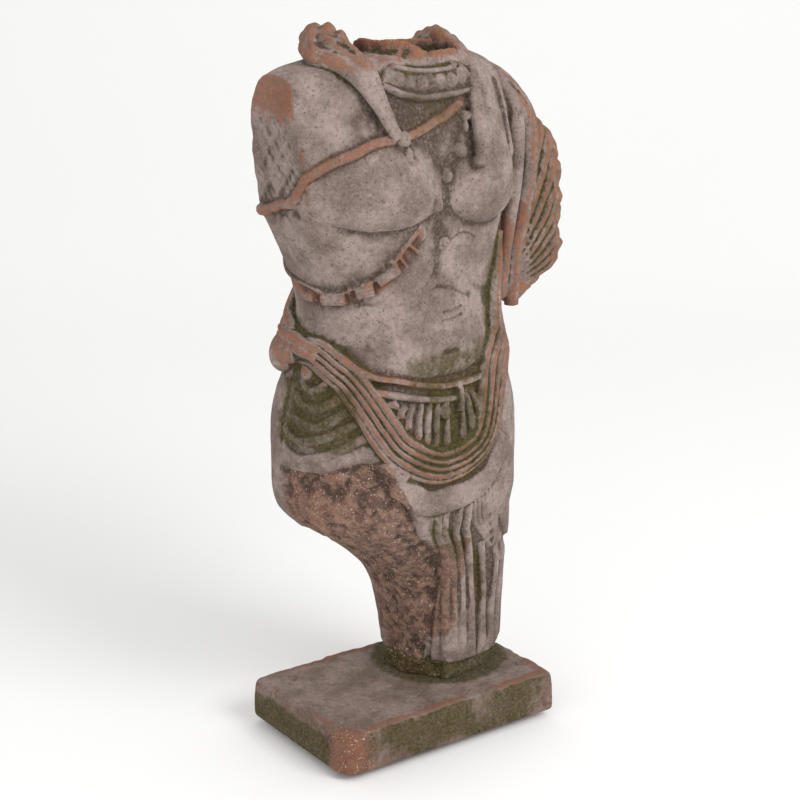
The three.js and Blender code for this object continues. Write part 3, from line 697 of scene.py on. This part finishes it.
bake(torso, "DECIMATE", ratio=TRIANGLES / (2 * len(torso.data.polygons)))
torso.data.polygons.foreach_set("use_smooth", np.ones(len(torso.data.polygons), bool))
print("torso", len(torso.data.polygons), "faces", len(torso.data.vertices), "points")


# --- Weathered cast stone ----------------------------------------------------------------------
# Sandy cast stone, tinted grey-brown all through. Years outside have bleached its flesh, worn the
# raised edges to the terracotta of the mix and grown moss where water sits; the hollows get painted shade.
def linear(code):
    """sRGB hex to linear: the standard curve for each of red, green and blue."""
    values = [int(code[i:i + 2], 16) / 255 for i in (1, 3, 5)]
    return tuple(v / 12.92 if v <= 0.04045 else ((v + 0.055) / 1.055) ** 2.4 for v in values) + (1.0,)


# Noise that makes up the stone: size in millimetres, detail, roughness. Real sand grains are under
# a millimetre, too fine to show, so "grain" and "sand" are drawn at 3.5 mm.
# The 5 mm mottle of the painted shade in the hollows is one of these patterns.
PATTERNS = {
    "cloud": (60, 6.0, 0.65), "smudge": (7, 3.0, 0.7), "grain": (3.5, 2.0, 0.6), "rubble": (14, 6.0, 0.7),
    "bared": (9, 4.0, 0.7), "shade_mottle": (5, 3.0, 0.6), "sprig": (6, 5.0, 0.75), "tuft": (4, 3.0, 0.6),
    "chip": (3.2, 2.0, 0.6), "sand": (3.5, 3.0, 0.65), "lump": (9, 4.0, 0.6),
    "broken edge": (10, 5.0, 0.7), "worn edge": (11, 5.0, 0.7), "moss edge": (14, 5.0, 0.7),
}
# What each stretch of a pattern becomes: pattern, from low to high, to low to high.
STRETCHES = {
    "cloud": ("cloud", 0.38, 0.62, 0, 1), "smudge": ("smudge", 0.35, 0.7, 0, 0.35),
    "pale grain": ("grain", 0.5, 0.72, 0, 0.45), "dark grain": ("grain", 0.46, 0.3, 0, 0.6),
    "rubble": ("rubble", 0.4, 0.6, 0, 1), "bared": ("bared", 0.35, 0.65, 0, 1),
    "shade_mottle": ("shade_mottle", 0.3, 0.6, 0.45, 0.95), "sprig": ("sprig", 0.35, 0.68, 0, 1),
    "tuft": ("tuft", 0.25, 0.6, 0.45, 0.88), "chip": ("chip", 0.62, 0.7, 0, 1),
}
# How far noise frays the border of a zone, and how soft the border is.
BORDERS = {"broken": (0.5, 0.16), "worn": (0.6, 0.16), "moss": (0.6, 0.3)}
PIT_SPACING = 11  # millimetres between pinholes left by air in the mix


# The darkest colour given is both the real dirt of the smudges and dark grain and the painted shade in the
# hollows.
def stone(name, light, dark, warm, moss, dirt_and_shade):
    """Procedural stone: two tones by cloud noise, speckled by grain, then broken faces, terracotta
    on worn edges, painted shade in the hollows, moss and white chips, each where its attribute says
    and frayed by noise, and last the pinholes."""
    material = bpy.data.materials.new(name)
    material.use_nodes = True
    tree = material.node_tree
    tree.nodes.clear()

    def node(kind, inputs, out=0, **settings):
        """Adds a node with its settings, values and links, and gives back one of its outputs."""
        made = tree.nodes.new(kind)
        for key, value in settings.items():
            setattr(made, key, value)
        for key, value in inputs.items():
            if isinstance(value, bpy.types.NodeSocket):
                tree.links.new(value, made.inputs[key])
            else:
                made.inputs[key].default_value = value
        return made.outputs[out] if made.outputs else None

    where = node("ShaderNodeTexCoord", {}, "Object")
    noise = {}
    for key, (size, detail, rough) in PATTERNS.items():
        noise[key] = node("ShaderNodeTexNoise", {
            "Vector": where, "Scale": 1000 / size, "Detail": detail, "Roughness": rough})
    pits = node("ShaderNodeTexVoronoi", {"Vector": where, "Scale": 1000 / PIT_SPACING, "Randomness": 1.0},
                feature="F1")
    noise["pits"] = pits
    amount = {}
    stretches = {**STRETCHES, "pits": ("pits", 0.12, 0.05, 0, 0.5),
        "pit depth": ("pits", 0.16, 0.06, 0, -0.9)}
    for key, (pattern, low, high, to_low, to_high) in stretches.items():
        amount[key] = node("ShaderNodeMapRange", {
            "Value": noise[pattern], "From Min": low, "From Max": high, "To Min": to_low,
            "To Max": to_high}, interpolation_type="SMOOTHSTEP")
    zone = {}
    for key in ("broken", "worn", "moss", "hollow", "chipped"):
        zone[key] = node("ShaderNodeAttribute", {}, "Fac", attribute_name=key)
    for key, (reach, soft) in BORDERS.items():
        mixed = node("ShaderNodeMath", {0: noise[key + " edge"], 1: reach * 2, 2: zone[key]},
                     operation="MULTIPLY_ADD")
        zone[key] = node("ShaderNodeMapRange", {
            "Value": mixed, "From Min": 0.5 - soft + reach, "From Max": 0.5 + soft + reach,
            "To Min": 0.0, "To Max": 1.0}, interpolation_type="SMOOTHSTEP")
    # The hollow zone is painted shade: dark deep in the hollows, mottled by noise.
    for key, factor in (("broken", 0.85), ("worn", 0.72), ("hollow", amount["shade_mottle"]),
                        ("moss", amount["tuft"]), ("chipped", amount["chip"])):
        zone[key] = node("ShaderNodeMath", {0: zone[key], 1: factor}, operation="MULTIPLY")
    tone = {}
    for key, low, high in (("cloud", dark, light), ("rubble", "#5a4038", "#8a6a58"),
                           ("bared", warm, "#7d5a48"), ("sprig", "#2f2b12", moss)):
        tone[key] = node("ShaderNodeMix", {0: amount[key], 6: linear(low), 7: linear(high)}, 2,
                         data_type="RGBA")
    colour = tone["cloud"]
    # Over the two tones go real dirt, grain, broken faces and worn edges, then painted shade in the
    # hollows, moss, chips and pinholes.
    for cover, over in (
            (amount["smudge"], linear(dirt_and_shade)), (amount["pale grain"], linear(light)),
            (amount["dark grain"], linear(dirt_and_shade)), (zone["broken"], tone["rubble"]),
            (zone["worn"], tone["bared"]), (zone["hollow"], linear(dirt_and_shade)), (zone["moss"], tone["sprig"]),
            (zone["chipped"], linear("#c9bdb2")), (amount["pits"], linear("#2c221d"))):
        colour = node("ShaderNodeMix", {0: cover, 6: colour, 7: over}, 2, data_type="RGBA")

    relief = node("ShaderNodeMath", {0: noise["lump"], 1: 0.8, 2: noise["sand"]}, operation="MULTIPLY_ADD")
    relief = node("ShaderNodeMath", {0: relief, 1: amount["pit depth"]}, operation="ADD")
    bump = node("ShaderNodeBump", {"Height": relief, "Strength": 0.85, "Distance": 0.0016})
    surface = node("ShaderNodeBsdfPrincipled", {
        "Base Color": colour, "Roughness": 0.93, "Specular IOR Level": 0.25, "Normal": bump})
    node("ShaderNodeOutputMaterial", {"Surface": surface})
    return material


def mark(piece, name, values):
    """Keeps a value from 0 to 1 for each point, for the material to read."""
    layer = piece.data.attributes.new(name, "FLOAT", "POINT")
    layer.data.foreach_set("value", np.clip(values, 0, 1).astype(np.float32))


def hollows(points, normals, edges, times, depth_mm):
    """How deep each point lies under the mean of its surroundings: positive in a hollow, negative
    on a ridge."""
    mean = neighbour_mean(points, edges, times)
    return np.sum((mean - points) * normals, axis=1) / MM / depth_mm


p_row, normal, edges = read(torso)
p = to_figure(p_row)
x, forward, z = p[:, 0], -p[:, 1], p[:, 2]
turn = np.degrees(np.arctan2(x - rows_at(BODY, z)[:, 0], forward - rows_at(BODY, z)[:, 1]))
leg_zone, web_zone, arm_zone, neck_zone = broken(p)
fine = hollows(p_row, normal, edges, 6, 0.8)
wide = hollows(p_row, normal, edges, 60, 3.0)
ridge = np.clip(-fine, 0, 1) * 0.5 + np.clip(-wide, 0, 1) * 0.7
# Depth in a hollow: the material paints shade there, and moss gathers more there.
hollow = np.clip(fine * 0.6 + wide * 0.9, 0, 1)


def stripe(nodes, reach, shift=0.0):
    """One on a path over the skin, falling to nought at its reach."""
    return 1 - ease(far(p, on_skin([(a, b + shift) for a, b, *_ in nodes])), reach * 0.6, reach)


cloth_zone = np.maximum.reduce([
    ease(x, 196, 206) * ease(z, 640, 660), stripe(SWAG, 46), stripe(BACK_SHAWL, 50),
    ease(far(p, np.array([(a, -b, c) for a, b, c, *_ in SHOULDER_ROLL], float)) * -1, -40, -25),
])
worn = np.maximum.reduce([
    stripe(STRAP, 13) * 0.58, stripe(AMULET_CORD, 14, -10) * 0.8 * ease(-turn, 15, 25),
    stripe(BELT, 11) * 0.75,
    arm_zone * (0.18 + 0.62 * ease(z, 950, 1015)), arm_zone * ease(forward, 40, 78) * 0.8,
    ridge * cloth_zone * 0.6, ridge * ease(z, 1030, 1060) * 0.6,
    leg_zone * (0.2 + 0.22 * ease(-x, 120, 190)),
    web_zone * ease(330 - z, 0, 60) * 0.34, ridge * 0.16,
])
# Painted shadow under the overhanging belly, laid on as moss tint: partly real moss, partly painted shade.
belly_shade = ease(z, 560, 585) * ease(655 - z, 0, 40) * ease(forward, 40, 90) * ease(60 - np.abs(x), -60,
    10)
skirt_pocket = ease(z, 452, 480) * ease(585 - z, 0, 20) * ease(75 - np.abs(x - 5), 0, 25) * ease(forward,
    80, 120)
thigh_pocket = ease(z, 486, 500) * ease(600 - z, 0, 15) * ease(-turn, 50, 60) * ease(104 + turn, 0, 8)
side_groove = stripe([(33, 600), (34, 640), (40, 700), (52, 760), (66, 820)], 26)
swag_low = stripe([(-14, 480), (-2, 456), (8, 462), (18, 500), (24, 540)], 40)
leg_lines = stripe([(-8, 380), (-6, 340), (-4, 300)], 22) + stripe([(2, 380), (4, 280), (5, 190), (6, 97)],
    12) * 0.9
foot_pad = ease(100 - z, 0, 5) * 0.95
moss = np.maximum.reduce([
    belly_shade * 0.62, skirt_pocket * (0.55 + 0.5 * hollow), thigh_pocket * (0.66 + 0.4 * hollow),
    side_groove * (0.45 + 0.5 * hollow),
    swag_low * (0.35 + 0.7 * hollow), leg_lines * (0.5 + 0.5 * hollow), foot_pad,
    hollow * cloth_zone * 0.75, hollow * ease(z, 1000, 1030) * ease(forward, 20, 60) * 0.8,
    ease(x, 235, 260) * ease(z, 650, 660) * (0.35 + 0.5 * hollow), hollow * 0.25,
    stripe([(-9, 1003), (2, 990), (4, 972), (-8, 965)], 20) * 0.45,
])
mark(torso, "worn", worn)
# The moss mark also carries the painted shadow under the belly.
mark(torso, "moss", moss)
mark(torso, "broken", np.maximum.reduce([leg_zone, web_zone, arm_zone * 0.3, neck_zone * 0.8,
    ease(z, 1064, 1076) * 0.5]))
# Painted shade in the hollows.
mark(torso, "hollow", np.clip(hollow * 1.1 - 0.12, 0, 1))
mark(torso, "chipped", np.maximum.reduce([leg_zone * 0.8, web_zone * 0.4, neck_zone * 0.4]))
torso.data.materials.clear()
torso.data.materials.append(stone("weathered_cast_stone", light="#a3928b", dark="#7c6c64", warm="#9a5f40",
    moss="#5a5222", dirt_and_shade="#463931"))
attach(torso, "root")
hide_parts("torso")


# --- Plinth ------------------------------------------------------------------------------------
# A separate slab of the same cast stone, its arrises worn round and its near corner knocked off.
WIDTH, DEPTH, HEIGHT = 406.0, 266.0, 66.0
CORNER, WORN_CORNER = 8.0, 28.0
SLAB_STEP = 2.2  # spacing of the fused slab's points
SLAB_TRIANGLES = 90000
FOOT_PLACE = (88.0, 27.0)  # where the foot pad stands on the slab
FOOT_REACH = 104.0


def slab_outline(inset, count=360):
    """Rounded rectangle: quarter turns of the corner radius joined by straight sides, evenly
    spaced round. The front right corner has its own, larger radius."""
    half_x, half_y = WIDTH / 2 - inset, DEPTH / 2 - inset
    corners = [(1, -1, CORNER, -90), (1, 1, CORNER, 0), (-1, 1, CORNER, 90), (-1, -1, WORN_CORNER, 180)]
    points = []
    for sx, sy, r, start in corners:
        a = np.radians(start + np.linspace(0, 90, 12))
        points.append(np.stack([sx * (half_x - r) + r * np.cos(a), sy * (half_y - r) + r * np.sin(a)], -1))
    loop = np.vstack(points + [points[0][:1]])
    along = np.concatenate([[0], np.cumsum(np.linalg.norm(np.diff(loop, axis=0), axis=1))])
    even = np.linspace(0, along[-1], count, endpoint=False)
    return np.stack([np.interp(even, along, column) for column in loop.T], -1)


profile = spline([(0, 2.5), (1.5, 1), (6, 0.3), (30, 0.8), (50, 1.8), (60, 3.4), (64.5, 6.5), (66, 12)], 40)
side_rings = [np.column_stack([slab_outline(inset), np.full(360, z)]) for z, inset in profile]
slab_points, slab_triangles = closed_rings(np.array(side_rings))
plinth = mesh_object("plinth_slab", slab_points * MM, slab_triangles)
bake(plinth, "REMESH", mode="VOXEL", voxel_size=SLAB_STEP * MM, use_smooth_shade=True)
p_row, normal, edges = read(plinth)
p_row = neighbour_mean(p_row, edges, 2)
q = p_row / MM
edge_wear = np.exp(-((HEIGHT - q[:, 2]) / 14) ** 2) * ease(np.maximum(np.abs(q[:, 0]) - WIDTH / 2,
    np.abs(q[:, 1]) - DEPTH / 2), -16, -2)
rise = 0.8 * cloud(q, 46, 21) + 0.6 * cloud(q, 15, 22) + 0.35 * cloud(q, 7,
    23) - 0.8 * ease(cloud(q, 12, 24), 0.3, 0.9)
rise = rise + edge_wear * (2.2 * cloud(q, 26, 25) + 1.2 * cloud(q, 11, 26))
p_row = p_row + normal * rise[:, None] * MM * ease(q[:, 2], 0.5, 6)[:, None]
p_row[:, 2] = np.maximum(p_row[:, 2], 0)
from_foot = np.hypot((q[:, 0] - FOOT_PLACE[0]) * 0.96, q[:, 1] - FOOT_PLACE[1])
foot = ease(FOOT_REACH - from_foot, 0, 3) * ease(q[:, 2], 60, 63)
p_row[:, 2] = np.where(foot > 0, np.minimum(p_row[:, 2], (HEIGHT - 0.2) * MM), p_row[:, 2])
write(plinth, p_row)
bake(plinth, "DECIMATE", ratio=min(1.0, SLAB_TRIANGLES / (2 * len(plinth.data.polygons))))
plinth.data.polygons.foreach_set("use_smooth", np.ones(len(plinth.data.polygons), bool))
p_row, normal, edges = read(plinth)
q = p_row / MM
top = ease(normal[:, 2], 0.6, 0.9)
side = 1 - ease(np.abs(normal[:, 2]), 0.3, 0.7)
rim = ease(np.maximum(np.abs(q[:, 0]) - WIDTH / 2, np.abs(q[:, 1]) - DEPTH / 2), -34, -8)
corner = ease(70 - np.hypot(q[:, 0] + WIDTH / 2, q[:, 1] + DEPTH / 2), 0, 50)
blotch = cloud(q, 60, 31) * 0.5 + cloud(q, 26, 32) * 0.3
front_moss = ease(-normal[:, 1], 0.5, 0.8) * (0.62 + blotch) * ease(190 - np.abs(q[:, 0] - 20), 0, 50)
right_moss = ease(-normal[:, 0], 0.5, 0.8) * (0.85 + blotch) * ease(58 - q[:, 2], 0, 18) * ease(q[:, 1],
    -110, -70)
from_foot = np.hypot(q[:, 0] - FOOT_PLACE[0], q[:, 1] - FOOT_PLACE[1])
foot_moss = ease(FOOT_REACH + 20 - from_foot, 0, 26) * 0.8
mark(plinth, "moss", np.maximum.reduce([front_moss, right_moss, foot_moss, side * (0.3 + blotch),
    top * (0.12 + 0.3 * blotch)]))
mark(plinth, "worn", np.maximum.reduce([rim * top * (0.6 + blotch), rim * side * 0.3, corner * 0.8]))
mark(plinth, "broken", side * 0.45 + corner * 0.6)
# Painted shade in the slab's hollows.
mark(plinth, "hollow", np.clip(hollows(p_row, normal, edges, 12, 1.2), 0, 1))
mark(plinth, "chipped", corner * 1.0 + side * 0.1)
plinth.data.materials.clear()
plinth.data.materials.append(stone("plinth_cast_stone", light="#93827a", dark="#75645a", warm="#80503a",
    moss="#534e20", dirt_and_shade="#46382f"))
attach(plinth, "root")
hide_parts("plinth")
print("plinth", len(plinth.data.polygons), "faces")


# --- Floor and light ---------------------------------------------------------------------------
# A plain pale floor that runs up into the background, one large soft light high in front of the
# figure and a weaker one on its right.
def paint(name, colour, roughness):
    """Plain matt material of one colour."""
    material = bpy.data.materials.new(name)
    material.use_nodes = True
    surface = material.node_tree.nodes["Principled BSDF"]
    surface.inputs["Base Color"].default_value = linear(colour)
    surface.inputs["Roughness"].default_value = roughness
    return material


sweep = spline([(-6, 0), (-2, 0), (1.6, 0), (2.6, 0.2), (3.3, 1.0), (3.5, 2.4), (3.5, 5)], 80)
across = np.array([-6.0, 6.0])
grid = np.stack(np.meshgrid(across, np.arange(80), indexing="ij"), -1)
bx, by, bz = grid[..., 0], sweep[grid[..., 1].astype(int), 0], sweep[grid[..., 1].astype(int), 1]
floor_points = np.stack([bx * math.cos(EYE_TURN) - by * math.sin(EYE_TURN),
    bx * math.sin(EYE_TURN) + by * math.cos(EYE_TURN), bz], -1).reshape(-1, 3)
k = np.arange(79)
floor_triangles = np.vstack([np.stack([k, k + 80, k + 81], -1), np.stack([k, k + 81, k + 1], -1)])
floor = mesh_object("floor", floor_points, floor_triangles)
floor.data.polygons.foreach_set("use_smooth", np.ones(len(floor.data.polygons), bool))
floor.data.materials.append(paint("pale_paper", "#fdfdfc", 0.9))


def softbox(name, watts, size, place, aim=(0, 0, 0.55)):
    """Square area light at a place, turned to face its aim."""
    light = bpy.data.lights.new(name, "AREA")
    light.energy, light.size = watts, size
    lamp = bpy.data.objects.new(name, light)
    bpy.context.scene.collection.objects.link(lamp)
    lamp.location = place
    away = np.array(place) - np.array(aim)
    lamp.rotation_euler = (math.atan2(math.hypot(away[0], away[1]), away[2]), 0,
        math.atan2(away[1], away[0]) + math.pi / 2)


softbox("key", 70, 1.6, (0.7, -2.9, 2.7))
softbox("fill", 14, 2.4, (-2.8, -1.2, 1.6))
world = bpy.data.worlds.new("studio")
world.use_nodes = True
world.node_tree.nodes["Background"].inputs["Color"].default_value = (1, 1, 1, 1)
world.node_tree.nodes["Background"].inputs["Strength"].default_value = 0.75
bpy.context.scene.world = world
bpy.context.scene.view_settings.view_transform = "Standard"
